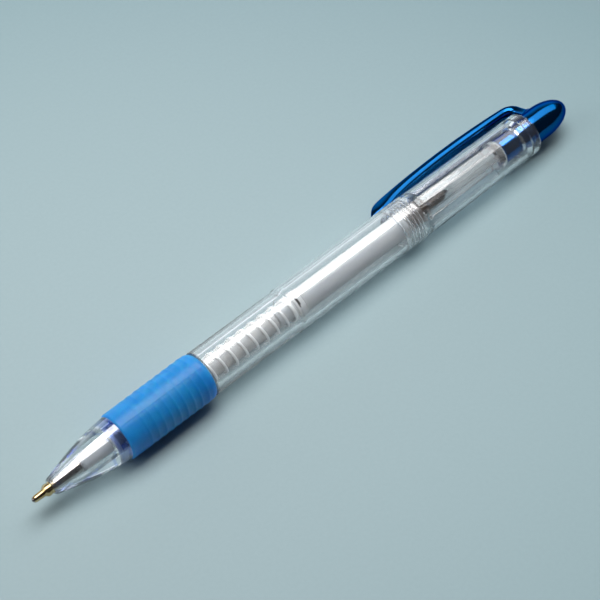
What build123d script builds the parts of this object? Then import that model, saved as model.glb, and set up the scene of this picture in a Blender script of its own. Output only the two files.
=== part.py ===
from build123d import *
import os
from math import sin, cos, radians

os.makedirs("parts", exist_ok=True)

# ---------------------------------------------------------------------------
# Retractable ballpoint pen, lying on a table, writing tip out.
# All sizes in millimetres. "a" is the distance along the pen from the front of
# the writing ball; the pen's axis runs along +X and the clip lies on the +Y side.
# ---------------------------------------------------------------------------
LENGTH = 141.9          # ball front to button end, tip out
AXIS_Y = -2.370         # pen axis, placed so that the whole pen is centred on Y
AXIS_Z = 5.0            # the widest barrel band rests on Z = 0
CLIP_DOWN = 19.35       # the clip points this many degrees below level

# clear barrel, front half
NOSE_MOUTH_A = 4.15
NOSE_MOUTH_R = 1.66
NOSE_BORE_R = 1.26
GRIP_A0, GRIP_A1 = 19.0, 39.3
GRIP_SEAT_R = 4.00
FRONT_R = 4.76          # barrel just behind the grip
STEP_A = 60.4           # small step up in the barrel
BODY_R = 4.95
BAND_R = 5.00           # band around the screwed joint
BORE_R = 3.30           # bore around the spring
BODY_BORE_R = 3.70      # bore behind the small step
SOCKET_A = 89.60        # bottom of the screwed socket
SOCKET_R = 4.20
JOINT_A = 95.20         # seam between the two barrel halves

# clear barrel, rear half
SPIGOT_R = 4.16
THREAD_DEPTH = 0.28
THREAD_PITCH = 0.80
THREAD_TURNS = 5
REAR_R = 4.90
REAR_END_A = 129.50
SPIGOT_BORE_R = 3.25
REAR_BORE_R = 4.05
LIP_A0, LIP_A1 = 125.50, 127.50
LIP_R = 2.93
MOUTH_R = 3.72
RIB_A0, RIB_A1 = 98.00, 118.00   # four guide ribs inside the tube
RIB_T = 0.70
RIB_FRONT_R = 2.60      # the cam rotor turns inside this part of the ribs
RIB_REAR_R = 2.20       # this part runs in the push rod's grooves

# grip sleeve
GRIP_R0, GRIP_R1 = 4.82, 4.92
RIB_PITCH = 1.78
RIB_COUNT = 9
RIB_DEPTH = 0.12

# refill
BALL_R = 0.50
BALL_A = 0.50
POINT_R = 1.18
POINT_A1 = 10.60
NECK_R, NECK_IN_R = 1.50, 1.10
NECK_BODY_R = 2.10      # thicker part of the neck inside the spring
NECK_A1 = 60.50
RESERVOIR_R, RESERVOIR_IN_R = 2.50, 2.05
RESERVOIR_A0, RESERVOIR_A1 = 64.00, 90.60
PLUG_A1 = 92.10

# return spring
SPRING_A0, SPRING_A1 = 17.05, 61.60
SPRING_WIRE_R = 0.21
SPRING_MEAN_R = 2.46
SPRING_TURNS = 17

# click mechanism
ROTOR_A0, ROTOR_HEAD_A1, ROTOR_A1 = 92.15, 95.90, 105.00
ROTOR_R, ROTOR_RIB_R, ROTOR_STEM_R = 2.15, 2.50, 1.02
ROD_A0, ROD_A1 = 97.00, 121.00
ROD_R, ROD_IN_R = 2.42, 1.10
ROD_FLANGE_R = 3.12
GROOVE_W, GROOVE_R = 0.95, 2.05
STEM_R, STEM_IN_R = 2.85, 1.96

# push button and clip
BUTTON_R = 3.62
BUTTON_A0, BUTTON_A1 = 129.58, 134.30
BRIDGE_A0, BRIDGE_A1 = 133.80, 135.30
FLEX_R = 5.60           # flex line of the clip, measured from the pen axis
CLIP_HALF_W = 2.00
FIT = 0.05

# ---------------------------------------------------------------------------
# Reference planes: PROFILE holds every turned section, CLIP the clip's side view
# ---------------------------------------------------------------------------
X0 = -LENGTH / 2
PEN = Axis((X0, AXIS_Y, AXIS_Z), (1, 0, 0))
PROFILE = Plane(origin=(X0, AXIS_Y, AXIS_Z), x_dir=(1, 0, 0), z_dir=(0, -1, 0))
CA, SA = cos(radians(CLIP_DOWN)), sin(radians(CLIP_DOWN))
CLIP_OUT = Vector(0, CA, -SA)
CLIP_SIDE = Vector(0, SA, CA)
CLIP = Plane(origin=(X0, AXIS_Y, AXIS_Z), x_dir=(1, 0, 0), z_dir=Vector(1, 0, 0).cross(CLIP_OUT))


def section(a):
    """Plane square to the pen at distance a, its x direction along the clip."""
    return Plane(origin=(X0 + a, AXIS_Y, AXIS_Z), x_dir=CLIP_OUT, z_dir=(1, 0, 0))


# ---------------------------------------------------------------------------
# Lower barrel: clear moulding with the nose, the grip seat and the screwed socket
# ---------------------------------------------------------------------------
with BuildPart() as lower_barrel:
    with BuildSketch(PROFILE):
        with BuildLine():
            nose = Spline(
                (NOSE_MOUTH_A, NOSE_MOUTH_R), (6.4, 2.28), (8.8, 2.93), (11.0, 3.48),
                (13.2, 3.90), (15.8, 4.27), (GRIP_A0 - 0.05, 4.60),
            )
            Polyline(
                nose @ 1,
                (GRIP_A0 - 0.05, GRIP_SEAT_R),
                (GRIP_A1, GRIP_SEAT_R),
                (GRIP_A1, FRONT_R),
                (STEP_A, FRONT_R - 0.04),
                (STEP_A + 0.15, BODY_R - 0.08),
                (STEP_A + 1.2, BODY_R),
                (SOCKET_A - 1.0, BODY_R),
                (SOCKET_A, BAND_R),
                (JOINT_A - 0.25, BAND_R),
                (JOINT_A, BAND_R - 0.12),
                (JOINT_A, SOCKET_R),
                (SOCKET_A, SOCKET_R),
                (SOCKET_A, BODY_BORE_R),
                (STEP_A + 1.6, BODY_BORE_R),
                (STEP_A + 0.2, BORE_R),
                (30.0, BORE_R),
                (SPRING_A0 - 0.15, 2.86),
                (SPRING_A0 - 0.15, 1.72),
                (9.55, 1.72),
                (8.95, NOSE_BORE_R),
                (NOSE_MOUTH_A, NOSE_BORE_R),
                nose @ 0,
            )
        make_face()
    revolve(axis=PEN)
lower_barrel.part.label = "lower_barrel"
export_step(lower_barrel.part, "parts/lower_barrel.step")

# ---------------------------------------------------------------------------
# Grip sleeve: soft ribbed sleeve over the seat
# ---------------------------------------------------------------------------
with BuildPart() as grip_sleeve:
    with BuildSketch(PROFILE):
        with BuildLine():
            Polyline(
                (GRIP_A0, GRIP_SEAT_R),
                (GRIP_A0, GRIP_R0 - 0.30),
                (GRIP_A0 + 0.30, GRIP_R0),
                (GRIP_A1 - 1.30, GRIP_R1),
                (GRIP_A1 - 0.45, GRIP_R1 - 0.28),
                (GRIP_A1 - 0.03, GRIP_R1 - 0.72),
                (GRIP_A1 - 0.03, GRIP_SEAT_R),
                close=True,
            )
        make_face()
    revolve(axis=PEN)
    with BuildSketch(PROFILE):
        for i in range(RIB_COUNT):
            a = GRIP_A1 - 2.6 - i * RIB_PITCH
            r = GRIP_R0 + (GRIP_R1 - GRIP_R0) * (a - GRIP_A0) / (GRIP_A1 - GRIP_A0)
            with Locations((a, r + 0.55)):
                Circle(0.55 + RIB_DEPTH)
    revolve(axis=PEN, mode=Mode.SUBTRACT)
grip_sleeve.part.label = "grip_sleeve"
export_step(grip_sleeve.part, "parts/grip_sleeve.step")

# ---------------------------------------------------------------------------
# Upper barrel: clear tube with a screwed spigot, four guide ribs, a retaining lip
# and a counterbored mouth
# ---------------------------------------------------------------------------
with BuildPart() as upper_barrel:
    with BuildSketch(PROFILE):
        with BuildLine():
            rim = RadiusArc((REAR_END_A - 0.75, REAR_R - 0.06), (REAR_END_A, REAR_R - 0.80), 0.76)
            Polyline(
                rim @ 1,
                (REAR_END_A, MOUTH_R + 0.18),
                (REAR_END_A - 0.18, MOUTH_R),
                (LIP_A1, MOUTH_R),
                (LIP_A1, LIP_R),
                (LIP_A0, LIP_R),
                (LIP_A0, REAR_BORE_R),
                (JOINT_A + 2.0, REAR_BORE_R),
                (JOINT_A + 1.0, SPIGOT_BORE_R),
                (SOCKET_A + 0.10, SPIGOT_BORE_R),
                (SOCKET_A + 0.10, SPIGOT_R - 0.25),
                (SOCKET_A + 0.35, SPIGOT_R),
                (JOINT_A + 0.02, SPIGOT_R),
                (JOINT_A + 0.02, REAR_R - 0.12),
                (JOINT_A + 0.25, REAR_R),
                rim @ 0,
            )
        make_face()
    revolve(axis=PEN)
    with BuildSketch(PROFILE):
        for i in range(THREAD_TURNS):
            a = SOCKET_A + 1.05 + i * THREAD_PITCH
            with Locations((a, SPIGOT_R)):
                Rectangle(THREAD_PITCH * 0.45, 2 * THREAD_DEPTH)
    revolve(axis=PEN, mode=Mode.SUBTRACT)
    for k in range(4):
        out = CLIP_OUT * cos(radians(45 + 90 * k)) + CLIP_SIDE * sin(radians(45 + 90 * k))
        with BuildSketch(Plane(origin=(X0, AXIS_Y, AXIS_Z), x_dir=(1, 0, 0), z_dir=Vector(1, 0, 0).cross(out))):
            with BuildLine():
                Polyline(
                    (RIB_A0, REAR_BORE_R + 0.25),
                    (RIB_A0, RIB_FRONT_R + 0.40),
                    (RIB_A0 + 0.40, RIB_FRONT_R),
                    (RIB_A0 + 5.0, RIB_FRONT_R),
                    (RIB_A0 + 5.4, RIB_REAR_R),
                    (RIB_A1 - 0.40, RIB_REAR_R),
                    (RIB_A1, RIB_REAR_R + 0.40),
                    (RIB_A1, REAR_BORE_R + 0.25),
                    close=True,
                )
            make_face()
        extrude(amount=RIB_T / 2, both=True)
upper_barrel.part.label = "upper_barrel"
export_step(upper_barrel.part, "parts/upper_barrel.step")

# ---------------------------------------------------------------------------
# Refill: brass point with its ball, neck tube, adapter, reservoir, plug, ink
# ---------------------------------------------------------------------------
with BuildPart() as writing_ball:
    with BuildSketch(PROFILE):
        with Locations((BALL_A, 0)):
            Circle(BALL_R)
            Rectangle(4 * BALL_R, 2 * BALL_R, align=(Align.CENTER, Align.MAX), mode=Mode.SUBTRACT)
    revolve(axis=PEN)
writing_ball.part.label = "writing_ball"
export_step(writing_ball.part, "parts/writing_ball.step")

with BuildPart() as brass_point:
    with BuildSketch(PROFILE):
        with BuildLine():
            Polyline(
                (BALL_A - 0.17, 0.0),
                (BALL_A - 0.17, 0.56),
                (0.75, 0.66),
                (2.55, 0.72),
                (2.95, POINT_R - 0.06),
                (3.05, POINT_R),
                (POINT_A1, POINT_R),
                (POINT_A1, 1.06),
                (POINT_A1 + 3.6, 1.06),
                (POINT_A1 + 3.9, 0.90),
                (POINT_A1 + 3.9, 0.0),
                close=True,
            )
        make_face()
        with Locations((BALL_A, 0)):
            Circle(BALL_R + 0.03, mode=Mode.SUBTRACT)
        with Locations((BALL_A, 0)):
            Rectangle(2.0, 0.36, align=(Align.MIN, Align.CENTER), mode=Mode.SUBTRACT)
        with Locations((BALL_A + 1.9, 0)):
            Rectangle(20.0, 1.10, align=(Align.MIN, Align.CENTER), mode=Mode.SUBTRACT)
    revolve(axis=PEN)
brass_point.part.label = "brass_point"
export_step(brass_point.part, "parts/brass_point.step")

with BuildPart() as refill_neck:
    with BuildSketch(PROFILE):
        with BuildLine():
            Polyline(
                (POINT_A1 + 0.02, NECK_IN_R),
                (POINT_A1 + 0.02, POINT_R + 0.02),
                (POINT_A1 + 0.60, NECK_R),
                (20.60, NECK_R),
                (21.40, NECK_BODY_R),
                (NECK_A1 - 3.5, NECK_BODY_R),
                (NECK_A1 - 3.1, NECK_R),
                (NECK_A1, NECK_R),
                (NECK_A1, NECK_IN_R),
                close=True,
            )
        make_face()
    revolve(axis=PEN)
refill_neck.part.label = "refill_neck"
export_step(refill_neck.part, "parts/refill_neck.step")

with BuildPart() as refill_adapter:
    with BuildSketch(PROFILE):
        with BuildLine():
            Polyline(
                (NECK_A1 - 3.0, NECK_R + 0.01),
                (NECK_A1 - 3.0, 1.95),
                (SPRING_A1 + 0.05, 1.95),
                (SPRING_A1 + 0.05, 2.72),
                (62.05, 2.72), (62.05, 2.42), (62.35, 2.42), (62.35, 2.72),
                (63.45, 2.72), (63.45, 2.42), (63.75, 2.42), (63.75, 2.72),
                (RESERVOIR_A0 - 0.02, 2.72),
                (RESERVOIR_A0 - 0.02, RESERVOIR_IN_R - 0.01),
                (RESERVOIR_A0 + 2.6, RESERVOIR_IN_R - 0.01),
                (RESERVOIR_A0 + 2.6, 1.55),
                (NECK_A1 + 0.02, NECK_IN_R),
                (NECK_A1 + 0.02, NECK_R + 0.01),
                close=True,
            )
        make_face()
    revolve(axis=PEN)
refill_adapter.part.label = "refill_adapter"
export_step(refill_adapter.part, "parts/refill_adapter.step")

with BuildPart() as refill_reservoir:
    with BuildSketch(PROFILE):
        with BuildLine():
            Polyline(
                (RESERVOIR_A0, RESERVOIR_IN_R),
                (RESERVOIR_A0, RESERVOIR_R),
                (RESERVOIR_A1, RESERVOIR_R),
                (RESERVOIR_A1, RESERVOIR_IN_R),
                close=True,
            )
        make_face()
    revolve(axis=PEN)
refill_reservoir.part.label = "refill_reservoir"
export_step(refill_reservoir.part, "parts/refill_reservoir.step")

with BuildPart() as tail_plug:
    with BuildSketch(PROFILE):
        with BuildLine():
            Polyline(
                (RESERVOIR_A1 - 2.4, 0.35),
                (RESERVOIR_A1 - 2.4, 1.80),
                (RESERVOIR_A1 - 2.1, RESERVOIR_IN_R - 0.01),
                (RESERVOIR_A1 + 0.02, RESERVOIR_IN_R - 0.01),
                (RESERVOIR_A1 + 0.02, RESERVOIR_R + 0.22),
                (PLUG_A1 - 0.25, RESERVOIR_R + 0.22),
                (PLUG_A1, RESERVOIR_R),
                (PLUG_A1, 0.35),
                close=True,
            )
        make_face()
    revolve(axis=PEN)
    # cross vent in the rear face, so that air reaches the reservoir
    with BuildSketch(section(PLUG_A1)):
        Rectangle(12.0, 0.5)
    extrude(amount=-0.4, mode=Mode.SUBTRACT)
tail_plug.part.label = "tail_plug"
export_step(tail_plug.part, "parts/tail_plug.step")

with BuildPart() as ink_column:
    with BuildSketch(PROFILE):
        with BuildLine():
            Polyline(
                (POINT_A1 + 4.0, 0.0),
                (POINT_A1 + 4.0, NECK_IN_R - 0.02),
                (NECK_A1 + 0.05, NECK_IN_R - 0.02),
                (RESERVOIR_A0 + 2.61, 1.50),
                (RESERVOIR_A0 + 2.63, RESERVOIR_IN_R - 0.03),
                (80.0, RESERVOIR_IN_R - 0.03),
                (80.0, 0.0),
                close=True,
            )
        make_face()
    revolve(axis=PEN)
ink_column.part.label = "ink_column"
export_step(ink_column.part, "parts/ink_column.step")

with BuildPart() as grease_follower:
    with BuildSketch(PROFILE):
        with BuildLine():
            Polyline(
                (80.02, 0.0),
                (80.02, RESERVOIR_IN_R - 0.03),
                (84.0, RESERVOIR_IN_R - 0.03),
                (83.6, 1.2),
                (83.4, 0.0),
                close=True,
            )
        make_face()
    revolve(axis=PEN)
grease_follower.part.label = "grease_follower"
export_step(grease_follower.part, "parts/grease_follower.step")

# ---------------------------------------------------------------------------
# Return spring: round wire around the neck, from the nose seat to the adapter
# ---------------------------------------------------------------------------
SPRING_LEN = SPRING_A1 - SPRING_A0 - 2 * SPRING_WIRE_R
with BuildPart() as return_spring:
    with BuildLine():
        coil = Helix(
            pitch=SPRING_LEN / SPRING_TURNS, height=SPRING_LEN, radius=SPRING_MEAN_R,
            center=(X0 + SPRING_A0 + SPRING_WIRE_R, AXIS_Y, AXIS_Z), direction=(1, 0, 0),
        )
    with BuildSketch(Plane(origin=coil @ 0, z_dir=coil % 0)):
        Circle(SPRING_WIRE_R)
    sweep(is_frenet=True)
return_spring.part.label = "return_spring"
export_step(return_spring.part, "parts/return_spring.step")

# ---------------------------------------------------------------------------
# Cam rotor: ribbed head against the plug, stem inside the push rod
# ---------------------------------------------------------------------------
with BuildPart() as cam_rotor:
    with BuildSketch(PROFILE):
        with BuildLine():
            Polyline(
                (ROTOR_A0, 0.0),
                (ROTOR_A0, ROTOR_R - 0.15),
                (ROTOR_A0 + 0.15, ROTOR_R),
                (ROTOR_HEAD_A1, ROTOR_R),
                (ROTOR_HEAD_A1, ROTOR_STEM_R),
                (ROTOR_A1 - 1.6, ROTOR_STEM_R),
                (ROTOR_A1, 0.25),
                (ROTOR_A1, 0.0),
                close=True,
            )
        make_face()
    revolve(axis=PEN)
    # four cam ribs and the eight shallow ratchet teeth on the head's rear face
    with BuildSketch(section(ROTOR_A0 + 0.6)):
        with PolarLocations(ROTOR_R - 0.1, 4):
            Rectangle(2 * (ROTOR_RIB_R - ROTOR_R + 0.06), 0.9)
    extrude(amount=ROTOR_HEAD_A1 - ROTOR_A0 - 0.6)
    with BuildSketch(section(ROTOR_HEAD_A1)):
        with PolarLocations(1.62, 8, start_angle=22.5):
            Trapezoid(0.95, 0.9, 70)
    extrude(amount=0.8, taper=12)
cam_rotor.part.label = "cam_rotor"
export_step(cam_rotor.part, "parts/cam_rotor.step")

# ---------------------------------------------------------------------------
# Push rod: pale tube with a toothed crown, four long grooves that ride on the
# barrel's guide ribs, and a stop flange
# ---------------------------------------------------------------------------
with BuildPart() as push_rod:
    with BuildSketch(PROFILE):
        with BuildLine():
            Polyline(
                (ROD_A0, ROD_IN_R),
                (ROD_A0, ROD_R),
                (ROD_A1 - 1.8, ROD_R),
                (ROD_A1 - 1.8, ROD_FLANGE_R),
                (ROD_A1 - 0.5, ROD_FLANGE_R),
                (ROD_A1 - 0.5, ROD_R),
                (ROD_A1 - 0.02, ROD_R),
                (ROD_A1 - 0.02, STEM_IN_R - 0.03),
                (ROD_A1 + 4.0, STEM_IN_R - 0.03),
                (ROD_A1 + 4.3, STEM_IN_R - 0.3),
                (ROD_A1 + 4.3, ROD_IN_R),
                close=True,
            )
        make_face()
    revolve(axis=PEN)
    with BuildSketch(section(ROD_A0)):
        with PolarLocations(GROOVE_R + 1.0, 4, start_angle=45):
            Rectangle(2.0, GROOVE_W)
    extrude(amount=ROD_A1 - 1.85 - ROD_A0, mode=Mode.SUBTRACT)
    # crown: eight notches in the front rim
    with BuildSketch(section(ROD_A0)):
        with PolarLocations(0, 4):
            Rectangle(8.0, 0.62)
    extrude(amount=0.9, taper=-8, mode=Mode.SUBTRACT)
push_rod.part.label = "push_rod"
export_step(push_rod.part, "parts/push_rod.step")

# ---------------------------------------------------------------------------
# Push button: hollow stem in the barrel, bullet end, stub of the clip's bridge
# ---------------------------------------------------------------------------
BRIDGE_MID = (BRIDGE_A0 + BRIDGE_A1) / 2
KNUCKLE_R = (BRIDGE_A1 - BRIDGE_A0) / 2

with BuildPart() as push_button:
    with BuildSketch(PROFILE):
        with BuildLine():
            dome = EllipticalCenterArc(
                (BUTTON_A1, 0), LENGTH - BUTTON_A1, BUTTON_R, start_angle=0, arc_size=90,
            )
            Polyline(
                (BUTTON_A1, BUTTON_R),
                (BUTTON_A0 + 0.15, BUTTON_R),
                (BUTTON_A0, BUTTON_R - 0.15),
                (BUTTON_A0, STEM_R),
                (ROD_A1 + 0.15, STEM_R),
                (ROD_A1, STEM_R - 0.15),
                (ROD_A1, STEM_IN_R),
                (BUTTON_A0 + 3.5, STEM_IN_R),
                (BUTTON_A0 + 4.6, 0.0),
                (LENGTH, 0.0),
            )
        make_face()
    revolve(axis=PEN)
    with BuildSketch(CLIP.offset(-CLIP_HALF_W * 0.85)):
        with Locations((BRIDGE_MID, FLEX_R - KNUCKLE_R * 0.35)):
            Rectangle(BRIDGE_A1 - BRIDGE_A0, 2.6, align=(Align.CENTER, Align.MAX))
        with Locations((BRIDGE_MID, FLEX_R)):
            Circle(KNUCKLE_R + FIT, mode=Mode.SUBTRACT)
    extrude(amount=CLIP_HALF_W * 1.7)
push_button.part.label = "push_button"
export_step(push_button.part, "parts/push_button.step")

# ---------------------------------------------------------------------------
# Pocket clip: arched springy arm, rooted at the flex line, its pad on the barrel
# ---------------------------------------------------------------------------
with BuildPart() as pocket_clip:
    with BuildSketch(CLIP.offset(-CLIP_HALF_W)):
        with BuildLine():
            back = Spline(
                (90.45, 6.30), (90.75, 6.95), (91.5, 7.62), (93.0, 8.36), (95.3, 8.68), (98.0, 8.92),
                (103.0, 9.30), (110.5, 9.64), (118.0, 9.76), (125.0, 9.50), (130.6, 9.16),
            )
            corner = Spline(
                back @ 1, (133.7, 8.76), (134.95, 7.70), (BRIDGE_A1, FLEX_R),
                tangents=[back % 1, (0, -1)],
            )
            knuckle = RadiusArc((BRIDGE_A1, FLEX_R), (BRIDGE_A0, FLEX_R), KNUCKLE_R)
            inner = Spline(
                (BRIDGE_A0, FLEX_R), (133.62, 6.45), (132.90, 7.12), (131.0, 7.52),
                tangents=[(0, 1), (-1, 0.06)],
            )
            belly = Spline(
                inner @ 1, (125.0, 7.62), (118.0, 7.76), (110.5, 7.62), (103.0, 7.14), (97.5, 6.32),
                (94.2, 5.34), (92.3, 5.09), (91.0, 5.52), (90.45, 6.30),
            )
        make_face()
    extrude(amount=2 * CLIP_HALF_W)
    # plan view of the arm: rounded free end, slightly waisted root
    with BuildSketch(Plane(origin=(X0, AXIS_Y, AXIS_Z), x_dir=(1, 0, 0), z_dir=CLIP_OUT)):
        with BuildLine():
            half = [(90.75, 1.10), (91.6, 1.55), (93.2, 1.80), (97.0, 1.92), (106.0, CLIP_HALF_W),
                    (122.0, CLIP_HALF_W), (135.5, CLIP_HALF_W * 0.85)]
            plan = Spline(
                *[(x, -y) for x, y in reversed(half)], (90.40, 0.0), *half,
            )
            Line(plan @ 1, plan @ 0)
        make_face()
    extrude(amount=12, mode=Mode.INTERSECT)
    fillet(
        pocket_clip.edges().filter_by(
            lambda e: abs((e % 0.5).X) > 0.75 and e.geom_type == GeomType.BSPLINE
        ),
        radius=0.5,
    )
pocket_clip.part.label = "pocket_clip"
export_step(pocket_clip.part, "parts/pocket_clip.step")
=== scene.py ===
import math

import bmesh
import bpy
import numpy as np
from mathutils import Matrix, Vector

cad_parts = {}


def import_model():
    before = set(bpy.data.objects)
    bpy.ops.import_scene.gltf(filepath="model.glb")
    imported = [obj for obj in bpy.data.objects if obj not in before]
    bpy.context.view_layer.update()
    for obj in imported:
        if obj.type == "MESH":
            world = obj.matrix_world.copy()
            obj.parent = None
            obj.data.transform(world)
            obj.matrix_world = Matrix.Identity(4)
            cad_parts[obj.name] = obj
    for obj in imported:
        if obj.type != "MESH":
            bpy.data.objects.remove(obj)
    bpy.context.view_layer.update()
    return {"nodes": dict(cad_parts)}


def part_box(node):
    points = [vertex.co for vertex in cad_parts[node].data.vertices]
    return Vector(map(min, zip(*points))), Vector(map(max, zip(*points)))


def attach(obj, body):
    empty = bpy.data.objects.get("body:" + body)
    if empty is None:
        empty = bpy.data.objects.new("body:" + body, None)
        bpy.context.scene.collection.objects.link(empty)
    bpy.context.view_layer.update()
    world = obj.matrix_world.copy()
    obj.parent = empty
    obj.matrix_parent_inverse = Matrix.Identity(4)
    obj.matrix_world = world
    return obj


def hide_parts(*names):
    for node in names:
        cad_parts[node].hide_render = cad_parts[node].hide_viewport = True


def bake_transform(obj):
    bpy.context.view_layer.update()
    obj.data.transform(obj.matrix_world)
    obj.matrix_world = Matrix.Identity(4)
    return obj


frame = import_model()
MM = 0.001

# ---------------------------------------------------------------------------
# The pen's own axes: a runs along it from the ball's front, u out towards the
# clip, v sideways from the clip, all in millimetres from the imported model.
# ---------------------------------------------------------------------------
ball_lo, ball_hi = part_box("writing_ball")
X0 = ball_lo.x / MM
AY = (ball_lo.y + ball_hi.y) / 2 / MM
AZ = (ball_lo.z + ball_hi.z) / 2 / MM
CLIP_DOWN = math.radians(19.35)
CA, SA = math.cos(CLIP_DOWN), math.sin(CLIP_DOWN)


def world(a, u, v):
    a, u, v = np.asarray(a, float), np.asarray(u, float), np.asarray(v, float)
    return np.stack(
        np.broadcast_arrays(X0 + a, AY + u * CA + v * SA, AZ - u * SA + v * CA), -1
    ) * MM


def pt(a, u=0.0, v=0.0):
    return tuple(float(x) for x in world(a, u, v))


# ---------------------------------------------------------------------------
# Mesh helpers
# ---------------------------------------------------------------------------
def make(name, verts, faces, sharp=38.0, weld=True):
    me = bpy.data.meshes.new(name)
    me.from_pydata([tuple(v) for v in verts], [], [tuple(f) for f in faces])
    bm = bmesh.new()
    bm.from_mesh(me)
    if weld:
        bmesh.ops.remove_doubles(bm, verts=bm.verts, dist=2e-7)
        bmesh.ops.dissolve_degenerate(bm, edges=bm.edges, dist=1e-8)
    bmesh.ops.recalc_face_normals(bm, faces=bm.faces)
    bm.to_mesh(me)
    bm.free()
    for p in me.polygons:
        p.use_smooth = True
    me.set_sharp_from_angle(angle=math.radians(sharp))
    o = bpy.data.objects.new(name, me)
    bpy.context.scene.collection.objects.link(o)
    return o


def catmull(points, steps):
    """A smooth line through points of any dimension, steps samples to a span."""
    p = np.asarray(points, float)
    ext = np.vstack([2 * p[0] - p[1], p, 2 * p[-1] - p[-2]])
    out = []
    for i in range(len(p) - 1):
        p0, p1, p2, p3 = ext[i : i + 4]
        t = np.linspace(0, 1, steps, endpoint=False)[:, None]
        out.append(
            0.5
            * (
                2 * p1
                + (p2 - p0) * t
                + (2 * p0 - 5 * p1 + 4 * p2 - p3) * t**2
                + (3 * p1 - p0 - 3 * p2 + p3) * t**3
            )
        )
    out.append(p[-1:])
    return np.vstack(out)


def rounded(points, closed=True, seg=5):
    """Points (a, r[, fillet]) of a section, with each corner that has a fillet turned into an arc."""
    out, n = [], len(points)
    for i, q in enumerate(points):
        c = np.array(q[:2], float)
        f = q[2] if len(q) > 2 else 0.0
        if not f or (not closed and i in (0, n - 1)):
            out.append(c)
            continue
        p, s = np.array(points[i - 1][:2], float), np.array(points[(i + 1) % n][:2], float)
        d1, d2 = p - c, s - c
        l1, l2 = np.linalg.norm(d1), np.linalg.norm(d2)
        d1, d2 = d1 / l1, d2 / l2
        ang = math.acos(max(-1, min(1, float(d1 @ d2))))
        if ang > math.pi - 0.02:
            out.append(c)
            continue
        cut = min(f / math.tan(ang / 2), 0.49 * l1, 0.49 * l2)
        f = cut * math.tan(ang / 2)
        mid = (d1 + d2) / np.linalg.norm(d1 + d2)
        centre = c + mid * f / math.sin(ang / 2)
        a1, a2 = c + d1 * cut - centre, c + d2 * cut - centre
        t1, t2 = math.atan2(a1[1], a1[0]), math.atan2(a2[1], a2[0])
        while t2 - t1 > math.pi:
            t2 -= 2 * math.pi
        while t2 - t1 < -math.pi:
            t2 += 2 * math.pi
        for k in range(seg + 1):
            t = t1 + (t2 - t1) * k / seg
            out.append(centre + f * np.array([math.cos(t), math.sin(t)]))
    return out


def lathe(name, prof, n=128, closed=True, dr=None, phis=None, sharp=38.0):
    """Turned piece. prof is its half section as (a, r). dr(a, r, phi) moves points outward for ribs, threads and lines."""
    if phis is None:
        phis = np.linspace(0, 2 * math.pi, n, endpoint=False)
    phis = np.asarray(phis, float)
    n = len(phis)
    verts, rings = [], []
    for a, r in prof:
        if r < 1e-6:
            rings.append([len(verts)])
            verts.append(world(a, 0, 0))
        else:
            rr = np.full(n, float(r))
            aa = np.full(n, float(a))
            if dr is not None:
                rr = rr + dr(aa, rr, phis)
            rings.append(list(range(len(verts), len(verts) + n)))
            verts.extend(world(aa, rr * np.cos(phis), rr * np.sin(phis)))
    faces = []
    pairs = list(zip(range(len(rings) - 1), range(1, len(rings))))
    if closed:
        pairs.append((len(rings) - 1, 0))
    for i, j in pairs:
        A, B = rings[i], rings[j]
        if len(A) == 1 and len(B) == 1:
            continue
        for k in range(n):
            m = (k + 1) % n
            if len(A) == 1:
                faces.append((A[0], B[k], B[m]))
            elif len(B) == 1:
                faces.append((A[k], B[0], A[m]))
            else:
                faces.append((A[k], B[k], B[m], A[m]))
    return make(name, verts, faces, sharp=sharp)


def loft(name, rings, sharp=60.0):
    """Closed skin over rings of equal count, with a cap at each end."""
    n = len(rings[0])
    verts = [v for ring in rings for v in ring]
    faces = []
    for i in range(len(rings) - 1):
        for k in range(n):
            m = (k + 1) % n
            faces.append((i * n + k, (i + 1) * n + k, (i + 1) * n + m, i * n + m))
    for base in (0, (len(rings) - 1) * n):
        c = len(verts)
        verts.append(np.mean([verts[base + k] for k in range(n)], axis=0))
        for k in range(n):
            faces.append((base + k, base + (k + 1) % n, c))
    return make(name, verts, faces, sharp=sharp)


def wire(name, line, radius, sides=12):
    """Round wire along a line of world points."""
    p = np.asarray(line, float)
    t = np.gradient(p, axis=0)
    t /= np.linalg.norm(t, axis=1)[:, None]
    up = np.array([1.0, 0.0, 0.0])
    rings = []
    for i in range(len(p)):
        b = np.cross(t[i], up)
        b /= np.linalg.norm(b)
        c = np.cross(b, t[i])
        ang = np.linspace(0, 2 * math.pi, sides, endpoint=False)
        rings.append(p[i] + radius * (np.cos(ang)[:, None] * b + np.sin(ang)[:, None] * c))
    return loft(name, rings, sharp=50)


def subtract(o, cutter):
    m = o.modifiers.new("cut", "BOOLEAN")
    m.operation, m.solver, m.object = "DIFFERENCE", "EXACT", cutter
    dg = bpy.context.evaluated_depsgraph_get()
    me = bpy.data.meshes.new_from_object(o.evaluated_get(dg))
    o.modifiers.clear()
    old = o.data
    o.data = me
    bpy.data.meshes.remove(old)
    bpy.data.objects.remove(cutter)
    for p in me.polygons:
        p.use_smooth = True
    me.set_sharp_from_angle(angle=math.radians(35))
    return o


def unite(o, others):
    dg = bpy.context.evaluated_depsgraph_get()
    for x in others:
        m = o.modifiers.new("join", "BOOLEAN")
        m.operation, m.solver, m.object = "UNION", "EXACT", x
    dg = bpy.context.evaluated_depsgraph_get()
    me = bpy.data.meshes.new_from_object(o.evaluated_get(dg))
    o.modifiers.clear()
    old = o.data
    o.data = me
    bpy.data.meshes.remove(old)
    for x in others:
        bpy.data.objects.remove(x)
    for q in me.polygons:
        q.use_smooth = True
    me.set_sharp_from_angle(angle=math.radians(38))
    return o


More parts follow.
